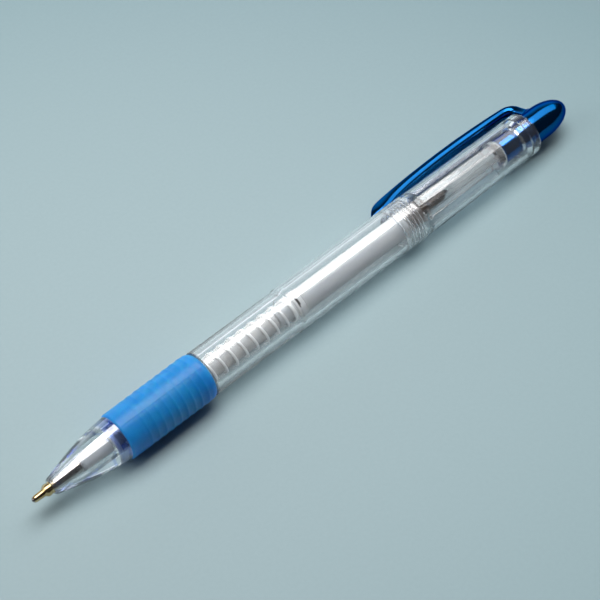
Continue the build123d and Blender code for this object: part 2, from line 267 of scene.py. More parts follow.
# ---------------------------------------------------------------------------
# Materials, all procedural, in object coordinates
# ---------------------------------------------------------------------------
class Mat:
    def __init__(self, name):
        self.m = bpy.data.materials.new(name)
        self.m.use_nodes = True
        self.nt = self.m.node_tree
        self.nt.nodes.clear()
        self.out = self.nt.nodes.new("ShaderNodeOutputMaterial")
        self.p = self.nt.nodes.new("ShaderNodeBsdfPrincipled")
        self.link(self.p.outputs[0], self.out.inputs["Surface"])
        self.tc = self.nt.nodes.new("ShaderNodeTexCoord").outputs["Object"]

    def link(self, a, b):
        self.nt.links.new(a, b)

    def set(self, **kw):
        for k, v in kw.items():
            self.p.inputs[k.replace("_", " ")].default_value = v
        return self

    def mapped(self, scale=(1, 1, 1)):
        n = self.nt.nodes.new("ShaderNodeMapping")
        n.inputs["Scale"].default_value = scale
        self.link(self.tc, n.inputs["Vector"])
        return n.outputs[0]

    def noise(self, scale, detail=3.0, rough=0.55, vec=None, distortion=0.0):
        n = self.nt.nodes.new("ShaderNodeTexNoise")
        n.inputs["Scale"].default_value = scale
        n.inputs["Detail"].default_value = detail
        n.inputs["Roughness"].default_value = rough
        n.inputs["Distortion"].default_value = distortion
        self.link(vec or self.tc, n.inputs["Vector"])
        return n.outputs[0]

    def ramp(self, fac, stops):
        n = self.nt.nodes.new("ShaderNodeValToRGB")
        e = n.color_ramp.elements
        while len(e) < len(stops):
            e.new(0.5)
        for x, (pos, col) in zip(e, stops):
            x.position = pos
            x.color = (*col, 1.0) if len(col) == 3 else col
        self.link(fac, n.inputs[0])
        return n.outputs[0]

    def split(self, vec):
        n = self.nt.nodes.new("ShaderNodeSeparateXYZ")
        self.link(vec, n.inputs[0])
        return n.outputs

    def edge(self, fac, a, b):
        """0 at a, 1 at b, smooth between them."""
        n = self.nt.nodes.new("ShaderNodeMapRange")
        n.interpolation_type = "SMOOTHSTEP"
        n.inputs["From Min"].default_value, n.inputs["From Max"].default_value = a, b
        self.link(fac, n.inputs[0])
        return n.outputs[0]

    def mix(self, fac, a, b, blend="MIX"):
        n = self.nt.nodes.new("ShaderNodeMix")
        n.data_type, n.blend_type = "RGBA", blend
        ins = [i for i in n.inputs if i.type == "RGBA"]
        f = [i for i in n.inputs if i.name == "Factor" and i.type == "VALUE"][0]
        for sock, v in ((f, fac), (ins[0], a), (ins[1], b)):
            if hasattr(v, "is_linked"):
                self.link(v, sock)
            elif isinstance(v, tuple):
                sock.default_value = (*v, 1.0)
            else:
                sock.default_value = v
        return [q for q in n.outputs if q.type == "RGBA"][0]

    def span(self, fac, lo, hi, a=0.0, b=1.0):
        n = self.nt.nodes.new("ShaderNodeMapRange")
        n.inputs["From Min"].default_value, n.inputs["From Max"].default_value = a, b
        n.inputs["To Min"].default_value, n.inputs["To Max"].default_value = lo, hi
        self.link(fac, n.inputs[0])
        return n.outputs[0]

    def math(self, op, a, b=None):
        n = self.nt.nodes.new("ShaderNodeMath")
        n.operation = op
        for i, x in enumerate((a, b)):
            if x is None:
                continue
            if isinstance(x, (int, float)):
                n.inputs[i].default_value = x
            else:
                self.link(x, n.inputs[i])
        return n.outputs[0]

    def bump(self, height, strength, distance, normal=None):
        n = self.nt.nodes.new("ShaderNodeBump")
        n.inputs["Strength"].default_value = strength
        n.inputs["Distance"].default_value = distance
        self.link(height, n.inputs["Height"])
        if normal is not None:
            self.link(normal, n.inputs["Normal"])
        return n.outputs[0]

    def to(self, socket, name):
        self.link(socket, self.p.inputs[name])
        return self

    def lets_lamps_through(self, colour):
        """Clear plastic: rays from lamps pass with a tint, so its shadow is as light as a clear moulding's."""
        lp = self.nt.nodes.new("ShaderNodeLightPath")
        tr = self.nt.nodes.new("ShaderNodeBsdfTransparent")
        tr.inputs["Color"].default_value = (*colour, 1.0)
        mix = self.nt.nodes.new("ShaderNodeMixShader")
        self.link(lp.outputs["Is Shadow Ray"], mix.inputs[0])
        self.link(self.p.outputs[0], mix.inputs[1])
        self.link(tr.outputs[0], mix.inputs[2])
        self.link(mix.outputs[0], self.out.inputs["Surface"])
        return self


def clear_plastic(name, front):
    k = Mat(name)
    k.set(IOR=1.58, Metallic=0.0, Specular_IOR_Level=0.40 if front else 0.32, Transmission_Weight=0.992)
    flow = k.noise(90, 2.0, 0.5, k.mapped((0.25, 1, 1)), 0.4)
    body = k.ramp(flow, [(0.3, (0.972, 0.976, 0.985)), (0.7, (0.985, 0.988, 0.994))])
    # painted reflection: a blue band in the last two millimetres of the nose wall stands in for the grip's blue seen
    # through and reflected in the wall
    x = k.split(k.tc)[0]
    if front:
        # the polished nose is the clearest part, and the worn body behind the grip the haziest
        haze = k.edge(x, (X0 + 19.0) * MM, (X0 + 38.0) * MM)
        k.to(k.span(haze, 0.995, 0.955), "Transmission Weight")
        k.to(k.span(haze, 0.9, 0.0), "Coat Weight")
        k.set(Coat_IOR=1.9, Coat_Roughness=0.02)
    # painted reflection: 1 between a = 16.95 and 19.1 mm, where the base colour is mixed towards the grip's blue, made
    # patchy by noise
    painted_grip_reflection = k.math("MULTIPLY", k.edge(x, (X0 + 16.75) * MM, (X0 + 16.95) * MM), k.edge(x, (X0 + 19.3) * MM, (X0 + 19.1) * MM))
    painted_reflection_mottle = k.noise(420, 2.0, 0.5)
    k.to(k.mix(k.math("MULTIPLY", painted_grip_reflection, k.span(painted_reflection_mottle, 0.55, 1.0, 0.3, 0.7)), body, (0.16, 0.27, 0.62)), "Base Color")
    hair = k.noise(2600, 2.0, 0.5, k.mapped((0.04, 1, 1)))
    k.to(k.span(hair, 0.008, 0.045, 0.45, 0.75), "Roughness")
    soft = k.noise(140, 1.0, 0.4, k.mapped((0.35, 1, 1)))
    b1 = k.bump(soft, 0.10, 0.00012)
    k.to(k.bump(hair, 0.05, 0.00001, b1), "Normal")
    k.lets_lamps_through((0.76, 0.79, 0.805))
    return k.m


def blue_metal():
    k = Mat("blue_metallised")
    k.set(Metallic=1.0, IOR=1.5)
    k.p.inputs["Specular Tint"].default_value = (0.05, 0.30, 0.62, 1.0)
    mott = k.noise(420, 3.0, 0.6)
    k.to(k.ramp(mott, [(0.25, (0.006, 0.086, 0.262)), (0.75, (0.009, 0.106, 0.315))]), "Base Color")
    k.to(k.span(k.noise(1500, 4.0, 0.65), 0.10, 0.17, 0.3, 0.7), "Roughness")
    peel = k.noise(900, 2.0, 0.5)
    wave = k.noise(160, 1.0, 0.4)
    k.to(k.bump(peel, 0.06, 0.00002, k.bump(wave, 0.12, 0.00010)), "Normal")
    return k.m


def rubber():
    k = Mat("blue_grip")
    k.set(IOR=1.44, Subsurface_Weight=0.85, Subsurface_Scale=0.0036, Specular_IOR_Level=0.42)
    k.p.inputs["Subsurface Radius"].default_value = (0.35, 0.75, 1.6)
    cloud = k.noise(260, 4.0, 0.6)
    speck = k.noise(3200, 3.0, 0.7)
    both = k.math("ADD", k.math("MULTIPLY", cloud, 0.75), k.math("MULTIPLY", speck, 0.25))
    k.to(k.ramp(both, [(0.30, (0.007, 0.185, 0.580)), (0.52, (0.012, 0.225, 0.650)), (0.75, (0.022, 0.265, 0.720))]), "Base Color")
    k.to(k.span(k.noise(700, 3.0, 0.6), 0.30, 0.46, 0.3, 0.7), "Roughness")
    grainy = k.noise(5200, 3.0, 0.65)
    soft = k.noise(420, 2.0, 0.5, k.mapped((1.0, 0.6, 0.6)))
    k.to(k.bump(grainy, 0.10, 0.00003, k.bump(soft, 0.25, 0.00010)), "Normal")
    return k.m


def brass():
    k = Mat("brass")
    k.set(Metallic=1.0)
    stain = k.noise(900, 4.0, 0.6)
    bare = k.ramp(stain, [(0.25, (0.42, 0.28, 0.12)), (0.55, (0.62, 0.46, 0.24)), (0.8, (0.72, 0.58, 0.34))])
    plated = k.edge(k.split(k.tc)[0], (X0 + 4.3) * MM, (X0 + 5.2) * MM)
    k.to(k.mix(plated, bare, (0.50, 0.47, 0.45)), "Base Color")
    turned = k.noise(2.0, 3.0, 0.6, k.mapped((9000, 60, 60)))
    k.to(k.span(turned, 0.08, 0.17, 0.3, 0.7), "Roughness")
    k.to(k.bump(turned, 0.18, 0.000012), "Normal")
    return k.m


def white_plastic(name, low, high, rough=(0.22, 0.34), sss=0.15, trans=0.0, painted_shade=None):
    k = Mat(name)
    k.set(IOR=1.49, Subsurface_Weight=sss, Subsurface_Scale=0.0055, Transmission_Weight=trans)
    k.p.inputs["Subsurface Radius"].default_value = (1.0, 0.9, 0.8)
    tone = k.ramp(k.noise(180, 3.0, 0.6, k.mapped((0.3, 1, 1))), [(0.3, low), (0.7, high)])
    # painted shade: from a = 20 to 22 mm onwards the tone blends into the darker colour given last, standing in for the
    # shade inside the grip
    if painted_shade:
        tone = k.mix(k.edge(k.split(k.tc)[0], (X0 + 20.0) * MM, (X0 + 22.0) * MM), tone, painted_shade)
    k.to(tone, "Base Color")
    k.to(k.span(k.noise(800, 3.0, 0.6, k.mapped((0.1, 1, 1))), rough[0], rough[1], 0.3, 0.7), "Roughness")
    k.to(k.bump(k.noise(1400, 3.0, 0.5, k.mapped((0.08, 1, 1))), 0.08, 0.00002), "Normal")
    return k


# dark plastic for the cam rotor; the same material paints the shade inside the adapter's windows
def dark_plastic():
    k = Mat("dark_plastic")
    k.set(IOR=1.55, Coat_Weight=0.4, Coat_Roughness=0.05)
    k.to(k.ramp(k.noise(600, 3.0, 0.6), [(0.3, (0.012, 0.006, 0.004)), (0.7, (0.045, 0.022, 0.014))]), "Base Color")
    k.to(k.span(k.noise(1600, 3.0, 0.6), 0.14, 0.26, 0.3, 0.7), "Roughness")
    k.to(k.bump(k.noise(1200, 2.0, 0.5), 0.10, 0.00002), "Normal")
    return k.m


def steel(name, low, high, rough, metallic=1.0):
    k = Mat(name)
    k.set(Metallic=metallic)
    drawn = k.noise(3.0, 3.0, 0.6, k.mapped((800, 2500, 2500)))
    k.to(k.ramp(drawn, [(0.3, low), (0.7, high)]), "Base Color")
    k.to(k.span(drawn, rough[0], rough[1], 0.3, 0.7), "Roughness")
    k.to(k.bump(drawn, 0.12, 0.00001), "Normal")
    return k.m


def fluid(name, low, high, rough):
    k = Mat(name)
    k.set(IOR=1.45, Coat_Weight=0.3, Coat_Roughness=0.1)
    k.to(k.ramp(k.noise(500, 3.0, 0.6), [(0.3, low), (0.7, high)]), "Base Color")
    k.to(k.span(k.noise(900, 2.0, 0.5), rough[0], rough[1], 0.3, 0.7), "Roughness")
    k.to(k.bump(k.noise(700, 2.0, 0.5), 0.15, 0.00003), "Normal")
    return k.m


CLEAR = clear_plastic("clear_plastic_front", True)
CLEAR_REAR = clear_plastic("clear_plastic_rear", False)
BLUE = blue_metal()
RUBBER = rubber()
BRASS = brass()
WHITE = white_plastic("white_plastic", (0.60, 0.595, 0.59), (0.68, 0.675, 0.67), (0.14, 0.22), 1.0).set(Specular_IOR_Level=0.8).m
# painted shade: the neck turns darker grey (0.44) from a = 22 mm on, the shade inside the grip
NECK = white_plastic("neck_tube", (0.72, 0.71, 0.72), (0.80, 0.79, 0.80), (0.16, 0.26), 1.0, 0.0, (0.44, 0.435, 0.43)).m


def rod_plastic():
    """Natural plastic: nearly clear round the rotor's stem, milky behind it."""
    k = white_plastic("natural_plastic", (0.80, 0.79, 0.78), (0.88, 0.87, 0.86), (0.06, 0.12))
    k.set(Specular_IOR_Level=0.3, IOR=1.2, Subsurface_Weight=0.0)
    milky = k.edge(k.split(k.tc)[0], (X0 + 105.2) * MM, (X0 + 106.6) * MM)
    k.to(k.span(milky, 0.988, 0.90), "Transmission Weight")
    return k.lets_lamps_through((0.86, 0.87, 0.88)).m


NATURAL = rod_plastic()
DARK = dark_plastic()
SPRING = steel("spring_steel", (0.86, 0.86, 0.86), (0.96, 0.96, 0.96), (0.32, 0.44), 0.55)
BALL = steel("steel_ball", (0.22, 0.18, 0.17), (0.34, 0.29, 0.28), (0.10, 0.20))
INK = fluid("ink", (0.004, 0.005, 0.022), (0.010, 0.012, 0.040), (0.15, 0.3))
GREASE = fluid("grease", (0.60, 0.56, 0.38), (0.72, 0.68, 0.50), (0.25, 0.4))


def dress(o, material, body=None, replaces=()):
    o.data.materials.clear()
    o.data.materials.append(material)
    if body:
        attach(o, body)
    if replaces:
        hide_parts(*replaces)
    return o


# ---------------------------------------------------------------------------
# Camera: its place, aim and lens
# ---------------------------------------------------------------------------
scene = bpy.context.scene
cam_data = bpy.data.cameras.new("camera")
cam = bpy.data.objects.new("camera", cam_data)
scene.collection.objects.link(cam)
cam.location = (-0.13003954944, AY * MM - 0.12977669258, 0.23231470411)
az, el = math.radians(-43.564), math.radians(51.722)
cam.rotation_mode = "QUATERNION"
cam.rotation_quaternion = Vector(
    (-math.sin(az) * math.cos(el), math.cos(az) * math.cos(el), -math.sin(el))
).to_track_quat("-Z", "Y")
cam_data.sensor_width = 36.0
cam_data.lens = 1504.9 * 36.0 / 600.0
cam_data.clip_start, cam_data.clip_end = 0.01, 20
cam_data.dof.use_dof = False
scene.camera = cam

# angles round the pen, in its u, v axes
PHI_CAM = math.radians(138.6)
PART = [math.radians(125.0), math.radians(305.0)]      # mould parting lines


def columns(n, extra=(), half=0.9):
    """Even angles round a piece, with a narrow group of columns at each parting line."""
    base = [2 * math.pi * k / n for k in range(n)]
    step = 2 * math.pi / n
    keep = [
        b for b in base
        if all(abs((b - e + math.pi) % (2 * math.pi) - math.pi) > math.radians(half) + 0.3 * step for e in extra)
    ]
    for e in extra:
        for d in (-1, -0.5, -0.18, 0.18, 0.5, 1):
            keep.append((e + math.radians(half) * d) % (2 * math.pi))
    return sorted(keep)


def parting(height, half=0.9, a0=-1e9, a1=1e9, rmin=0.0):
    def f(a, r, phi):
        out = np.zeros_like(phi)
        for e in PART:
            d = np.abs((phi - e + math.pi) % (2 * math.pi) - math.pi) / math.radians(half)
            out = np.maximum(out, height * np.clip(1 - d / 0.6, 0, 1))
        return np.where((a > a0) & (a < a1) & (r > rmin), out, 0.0)

    return f


# ---------------------------------------------------------------------------
# Lower barrel: clear nose, grip seat, body and screwed socket
# ---------------------------------------------------------------------------
NOSE = catmull(
    [(4.15, 1.66), (6.4, 2.28), (8.8, 2.93), (11.0, 3.48), (13.2, 3.90), (15.8, 4.27), (18.95, 4.60)], 8
)


def thread_r(a, phi, a0, a1, pitch, depth):
    """Height of a rounded helical thread, fading at both ends."""
    t = (a / pitch - phi / (2 * math.pi)) % 1.0
    h = 0.5 - 0.5 * np.cos(2 * math.pi * t)
    fade = np.clip((a - a0) / (0.6 * pitch), 0, 1) * np.clip((a1 - a) / (0.6 * pitch), 0, 1)
    return depth * h**1.4 * fade


TH_A0, TH_A1, TH_P, TH_D = 90.25, 94.7, 0.80, 0.24
nose_pts = [tuple(p) for p in NOSE]
sock = [(a, 4.20) for a in np.arange(94.9, 89.95, -0.08)]
lower_prof = (
    rounded([(4.15, 1.26), (4.10, 1.50, 0.06), nose_pts[1]], closed=False)[1:-1]
    + nose_pts[1:-1]
    + rounded([
        nose_pts[-2], (18.95, 4.60, 0.05), (18.95, 4.00), (39.30, 4.00), (39.30, 4.76, 0.12),
        (60.40, 4.72, 0.2), (60.62, 4.88, 0.1), (61.6, 4.95, 0.6), (88.6, 4.95, 0.6),
        (89.6, 5.00, 0.6), (94.95, 5.00, 0.15), (95.20, 4.88, 0.05), (95.20, 4.24, 0.03), (95.05, 4.20),
    ], closed=False)[1:]
    + sock
    + rounded([
        (89.95, 4.20), (89.60, 4.20), (89.60, 3.70, 0.1), (62.0, 3.70, 0.8), (60.6, 3.30, 0.8), (30.0, 3.30, 2.0), (16.90, 2.86, 0.1),
        (16.90, 1.72, 0.05), (12.4, 1.72, 3.0), (9.9, 1.62, 3.0), (7.3, 1.26, 3.0), (4.15, 1.26),
    ], closed=False)[1:]
)


def lower_dr(a, r, phi):
    out = parting(0.018, a0=4.3, a1=18.6)(a, r, phi) * (r > 1.8) * (a < 18.9)
    inner = (a > 12.0) & (a < 18.9) & (r < 3.2)
    out = np.where(inner, 0.0, out)
    sk = (a < 95.0) & (a > 89.9) & (np.abs(r - 4.20) < 1e-4)
    out = out + np.where(sk, -0.0 + thread_r(a, phi, TH_A0, TH_A1, TH_P, TH_D) - 0.0, 0.0) * 0.6
    return out


lower = lathe("lower_barrel_shell", lower_prof, phis=columns(176, PART), dr=lower_dr, sharp=40)
dress(lower, CLEAR, "barrel", ["lower_barrel"])

# ---------------------------------------------------------------------------
# Upper barrel: threaded spigot, guide lands, lip and counterbored mouth
# ---------------------------------------------------------------------------
spig = [(a, 4.14) for a in np.arange(89.98, 94.95, 0.08)]
upper_prof = (
    rounded([(89.70, 3.25, 0.05), (89.70, 3.92, 0.05), (89.93, 4.14)], closed=True)[1:]
    + spig
    + rounded([
        (94.99, 4.14), (95.22, 4.14), (95.22, 4.76, 0.05), (95.45, 4.90, 0.12), (112.0, 4.89),
        (129.50, 4.85, 0.75), (129.50, 3.90, 0.10), (129.32, 3.72, 0.05), (127.50, 3.72, 0.04),
        (127.50, 2.93, 0.08), (125.50, 2.93, 0.08), (125.50, 4.05, 0.15), (97.20, 4.05, 0.8), (96.20, 3.25, 0.4),
        (94.0, 3.25),
    ], closed=False)
)


def upper_dr(a, r, phi):
    sp = (a > 89.9) & (a < 95.0) & (np.abs(r - 4.14) < 1e-4)
    return np.where(sp, -thread_r(a, phi, TH_A0, TH_A1, TH_P, TH_D) * 0.9, 0.0)


def rib(phi, t, prof):
    c, q = math.cos(phi), math.sin(phi)
    vs = [world(a, r * c - w * q, r * q + w * c) for w in (-t / 2, t / 2) for a, r in prof]
    n = len(prof)
    fs = [tuple(range(n)), tuple(range(2 * n - 1, n - 1, -1))]
    fs += [(k, n + k, n + (k + 1) % n, (k + 1) % n) for k in range(n)]
    return make("rib", vs, fs, weld=False)


upper = lathe("upper_barrel_shell", upper_prof, n=168, dr=upper_dr, sharp=40)
rib_prof = [(98.0, 4.30), (98.0, 3.0), (98.12, 2.74), (98.4, 2.60), (103.0, 2.60), (103.4, 2.20), (117.6, 2.20),
            (117.88, 2.34), (118.0, 2.60), (118.0, 4.30)]
unite(upper, [rib(math.radians(45 + 90 * k), 0.70, rib_prof) for k in range(4)])
dress(upper, CLEAR_REAR, "barrel", ["upper_barrel"])

# ---------------------------------------------------------------------------
# Grip sleeve: fine ribs, parting lines, soft ends
# ---------------------------------------------------------------------------
RIBS = [23.3 + 1.70 * i for i in range(9)]
grip_out = [(a, 4.82 + 0.10 * (a - 19.3) / 18.7) for a in np.arange(19.35, 37.95, 0.085)]
grip_prof = (
    [(19.02, 4.02), (19.02, 4.44), (19.05, 4.60), (19.12, 4.71), (19.22, 4.78)]
    + grip_out
    + [(38.05, 4.918), (38.35, 4.87), (38.62, 4.78), (38.85, 4.66), (39.03, 4.50), (39.15, 4.30), (39.22, 4.12), (39.22, 4.02)]
)
rng = np.random.default_rng(7)
wob = rng.uniform(-1, 1, (len(RIBS), 4))


def grip_dr(a, r, phi):
    out = np.zeros_like(phi)
    for i, c in enumerate(RIBS):
        cc = c + 0.05 * wob[i, 0] * np.cos(phi + wob[i, 1] * 3)
        strength = 0.075 * (0.60 + 0.40 * min(1.0, i / 4.0)) * (1 + 0.18 * np.cos(2 * phi + wob[i, 2] * 3))
        out += strength * np.exp(-(((a - cc) / 0.26) ** 2))
        out -= 0.030 * np.exp(-(((a - cc - 0.85) / 0.40) ** 2))
    out = np.where(r > 4.70, out, 0.0)
    return out + parting(0.030, half=1.1)(a, r, phi) * (r > 4.7)


grip = lathe("grip_sleeve_ribbed", grip_prof, phis=columns(168, PART, 1.1), dr=grip_dr, sharp=55)
dress(grip, RUBBER, "barrel", ["grip_sleeve"])

# ---------------------------------------------------------------------------
# Refill
# ---------------------------------------------------------------------------
tip_ball = lathe(
    "ball_sphere",
    [(0.5 - 0.5 * math.cos(t), 0.5 * math.sin(t) if 0 < t < math.pi else 0.0) for t in np.linspace(0, math.pi, 33)],
    n=48, closed=False, sharp=90,
)
dress(tip_ball, BALL, "ball", ["writing_ball"])

point_prof = rounded([
    (0.50, 0.515), (0.33, 0.50), (0.30, 0.545, 0.02), (0.72, 0.66, 0.15), (2.45, 0.72, 0.12), (2.78, 1.02, 0.12),
    (2.98, 1.17, 0.08), (3.62, 1.18, 0.05), (3.72, 1.10, 0.04), (3.95, 1.10, 0.04), (4.05, 1.18, 0.05),
    (10.45, 1.18, 0.08), (10.60, 1.08, 0.03), (10.60, 1.06), (14.10, 1.06, 0.06), (14.50, 0.90, 0.05),
    (14.50, 0.55, 0.03), (2.40, 0.55, 0.02), (2.40, 0.18), (0.98, 0.18), (0.90, 0.345), (0.72, 0.468),
], closed=True, seg=4)
point = lathe("brass_point_turned", point_prof, n=72, sharp=32)
dress(point, BRASS, "refill", ["brass_point"])

neck_prof = rounded([
    (10.62, 1.10), (10.62, 1.20, 0.04), (11.20, 1.50, 0.25), (20.60, 1.50, 0.3), (21.40, 2.10, 0.4), (57.0, 2.10, 0.1),
    (57.40, 1.50, 0.05), (60.50, 1.50), (60.50, 1.10),
], closed=True)
neck = lathe("refill_neck_tube", neck_prof, n=72, sharp=32)
dress(neck, NECK, "refill", ["refill_neck"])

adapter_prof = rounded([
    (57.50, 1.51), (57.50, 1.95, 0.12), (61.65, 1.95, 0.05), (61.65, 2.72, 0.10), (62.05, 2.72, 0.05),
    (62.12, 2.45, 0.03), (62.28, 2.45, 0.03), (62.35, 2.72, 0.05), (63.45, 2.72, 0.05), (63.52, 2.45, 0.03),
    (63.68, 2.45, 0.03), (63.75, 2.72, 0.05), (63.98, 2.72, 0.05), (63.98, 2.04), (66.60, 2.04, 0.05),
    (66.60, 1.55), (60.52, 1.10), (60.52, 1.51),
], closed=True, seg=3)
adapter = lathe("refill_adapter_ringed", adapter_prof, n=96, sharp=32)


def slot_cut(a0, a1, phi, half_w, r0, r1):
    c, s = math.cos(phi), math.sin(phi)
    vs = []
    for a in (a0, a1):
        for r in (r0, r1):
            for w in (-half_w, half_w):
                vs.append(world(a, r * c - w * s, r * s + w * c))
    fs = [(0, 1, 3, 2), (4, 6, 7, 5), (0, 4, 5, 1), (2, 3, 7, 6), (0, 2, 6, 4), (1, 5, 7, 3)]
    return make("slot_cutter", vs, fs, weld=False)


WINDOWS = ((60.66, 61.12), (62.12, 62.66))
PHI_WIN = PHI_CAM - math.radians(2)
for a0, a1 in WINDOWS:
    subtract(adapter, slot_cut(a0, a1, PHI_WIN, 0.62, 1.66 if a1 < 61.65 else 2.06, 3.0))
dress(adapter, WHITE, "refill", ["refill_adapter"])
# painted shade: the faces inside the two windows get the dark material, standing in for the shade in these recesses
adapter.data.materials.append(DARK)
for face in adapter.data.polygons:
    c = face.center / MM - Vector((X0, AY, AZ))
    if any(a0 - 0.02 < c.x < a1 + 0.02 for a0, a1 in WINDOWS):
        radial = Vector((0, c.y, c.z))
        look = Vector((0, math.cos(PHI_WIN) * CA + math.sin(PHI_WIN) * SA, -math.cos(PHI_WIN) * SA + math.sin(PHI_WIN) * CA))
        if radial.length < 2.62 and radial.length > 1.6 and radial.normalized().dot(look) > 0.90 and radial.dot(look) > 1.9:
            face.material_index = 1

res_prof = rounded([
    (64.00, 2.05), (64.00, 2.50, 0.10), (90.60, 2.50, 0.08), (90.60, 2.05),
], closed=True)
reservoir = lathe("refill_reservoir_tube", res_prof, n=96, sharp=32)
dress(reservoir, WHITE, "refill", ["refill_reservoir"])

# ---------------------------------------------------------------------------
# Return spring with closed ends, stretched between the nose seat and the refill
# ---------------------------------------------------------------------------
S0, S1, WR, SR = 17.00 + 0.21, 61.62 - 0.21, 0.25, 2.46
turns = [(0.0, 0.0), (1.6, 0.70), (2.1, 1.35)]
active = 16.5
line_t, line_a = [], []
total = 1.7 + active + 1.7
for t in np.linspace(0, total, int(total * 40) + 1):
    if t < 1.7:
        x = t * 0.43
    elif t > total - 1.7:
        x = (S1 - S0) - (total - t) * 0.43
    else:
        k = (t - 1.7) / active
        lo, hi = 1.7 * 0.43, (S1 - S0) - 1.7 * 0.43
        x = lo + (hi - lo) * k
    line_t.append(t)
    line_a.append(x)
line_a = np.array(line_a)
kernel = np.hanning(25)
kernel /= kernel.sum()
smooth_a = np.convolve(np.pad(line_a, 12, mode="edge"), kernel, "valid")
smooth_a[:14], smooth_a[-14:] = line_a[:14], line_a[-14:]
ang = 2 * math.pi * np.array(line_t) + 0.6
spring = wire("return_spring_coil", world(S0 + smooth_a, SR * np.cos(ang), SR * np.sin(ang)), WR * MM, 12)
spring.data.materials.append(SPRING)
pt(17.9)
pt(60.6)
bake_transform(spring)
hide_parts("return_spring")

# ---------------------------------------------------------------------------
# Click mechanism: push rod (pale tube); rotor, plug, ink and grease keep their CAD shape
# ---------------------------------------------------------------------------
rod_prof = rounded([
    (97.0, 1.10), (97.0, 2.42, 0.08), (119.2, 2.42, 0.05), (119.2, 3.12, 0.10), (120.5, 3.12, 0.10),
    (120.5, 2.42, 0.05), (120.98, 2.42, 0.04), (120.98, 1.93), (125.0, 1.93, 0.08), (125.3, 1.66, 0.05), (125.3, 1.10),
], closed=True)
rod = lathe("push_rod_tube", rod_prof, n=96, sharp=32)
for k in range(4):
    subtract(rod, slot_cut(96.5, 97.85, math.radians(45 * k), 0.32, -3.0, 3.0))
    subtract(rod, slot_cut(96.5, 119.15, math.radians(45 + 90 * k), 0.475, 2.05, 3.4))
dress(rod, NATURAL, "button", ["push_rod"])

for node, material in (
    ("cam_rotor", DARK), ("tail_plug", WHITE), ("ink_column", INK), ("grease_follower", GREASE),
):
    o = frame["nodes"][node]
    o.data.materials.clear()
    o.data.materials.append(material)

# ---------------------------------------------------------------------------
# Push button and clip
# ---------------------------------------------------------------------------
L = 141.9
dome = [
    (134.30 + (L - 134.30) * math.sin(t), 3.62 * math.cos(t) if t < math.pi / 2 - 1e-6 else 0.0)
    for t in np.linspace(0, math.pi / 2, 30)
]
button_prof = (
    rounded([
        (133.2, 0.9), (133.08, 1.96, 0.4), (121.0, 1.96, 0.05), (121.0, 2.85, 0.15), (129.58, 2.85, 0.06),
        (129.58, 3.62, 0.16), (132.0, 3.62), (134.2, 3.62),
    ], closed=False)
    + dome
)
button = lathe("push_button_bullet", [(134.1, 0.0)] + button_prof, n=128, closed=False, sharp=35)
dress(button, BLUE, "button", ["push_button"])

stations = [
    ((90.43, 6.36), (90.43, 6.22), 0.30, 0.07),
    ((90.52, 6.72), (90.50, 5.98), 0.78, 0.30),
    ((90.80, 7.10), (90.72, 5.72), 1.16, 0.45),
    ((91.5, 7.66), (91.3, 5.38), 1.52, 0.50),
    ((92.2, 8.06), (92.0, 5.16), 1.68, 0.50),
    ((93.2, 8.40), (93.0, 5.10), 1.80, 0.50),
    ((95.2, 8.68), (95.0, 5.58), 1.88, 0.50),
    ((98.0, 8.92), (98.0, 6.44), 1.93, 0.50),
    ((103.0, 9.30), (103.0, 7.14), 1.98, 0.50),
    ((110.5, 9.64), (110.5, 7.62), 2.0, 0.50),
    ((118.0, 9.76), (118.0, 7.76), 2.0, 0.50),
    ((125.0, 9.50), (125.0, 7.62), 2.0, 0.50),
    ((130.2, 9.20), (130.0, 7.50), 1.95, 0.50),
    ((133.1, 8.92), (132.3, 7.36), 1.88, 0.50),
    ((134.55, 8.20), (133.25, 6.98), 1.80, 0.48),
    ((135.15, 7.10), (133.72, 6.30), 1.74, 0.46),
    ((135.30, 5.80), (133.80, 5.60), 1.70, 0.45),
    ((135.32, 4.70), (133.78, 4.70), 1.70, 0.45),
    ((135.36, 4.00), (133.70, 4.00), 1.76, 0.45),
    ((135.62, 3.46), (133.40, 3.46), 1.96, 0.45),
    ((135.62, 2.60), (133.40, 2.60), 1.96, 0.45),
]
back = catmull([q[0] for q in stations], 6)
belly = catmull([q[1] for q in stations], 6)
half = catmull([(q[2], q[3]) for q in stations], 6)


def slab(bk, be, hw, f, seg=9):
    """One section of the arm: a flat back with small corners and a belly with wide round edges."""
    mid, d = (bk + be) / 2, (bk - be) / 2
    t = float(np.linalg.norm(d))
    f = min(f, 0.97 * t, 0.97 * hw)
    e1, e2 = min(3.8 * f, 1.72 * t), min(2.4 * f, 0.85 * hw)
    ring = []
    for sx, sv, t0, rx, rv in (
        (1, 1, 0.0, 0.8 * f, 0.8 * f), (-1, 1, 0.5, e1, e2), (-1, -1, 1.0, e1, e2), (1, -1, 1.5, 0.8 * f, 0.8 * f)
    ):
        for k in range(seg + 1):
            ang = math.pi * (t0 + 0.5 * k / seg)
            x = sx * (t - rx) + rx * math.cos(ang)
            v = sv * (hw - rv) + rv * math.sin(ang)
            ring.append((mid[0] + d[0] / t * x, mid[1] + d[1] / t * x, v))
    q = np.array(ring)
    return world(q[:, 0], q[:, 1], q[:, 2])


rings = [slab(bk, be, h[0], h[1]) for bk, be, h in zip(back, belly, half)]
clip = loft("pocket_clip_arm", rings, sharp=45)
clip.data.materials.append(BLUE)
pt(135.4, 4.4)
pt(133.2, 7.1)
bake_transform(clip)
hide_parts("pocket_clip")

# ---------------------------------------------------------------------------
# Floor, lights, world
# ---------------------------------------------------------------------------
# painted light falloff: per-channel coefficients (constant, x, y, xx, xy, yy) of the quadratic that darkens the floor
# card
FLOOR_PAINTED_FALLOFF = (
    (1.0068, -0.0965, 0.0297, -0.1041, -0.0545, -0.1092),
    (1.0229, -0.0678, 0.0237, -0.0837, -0.0553, -0.0810),
    (1.0282, -0.0598, 0.0242, -0.0815, -0.0450, -0.0761),
)


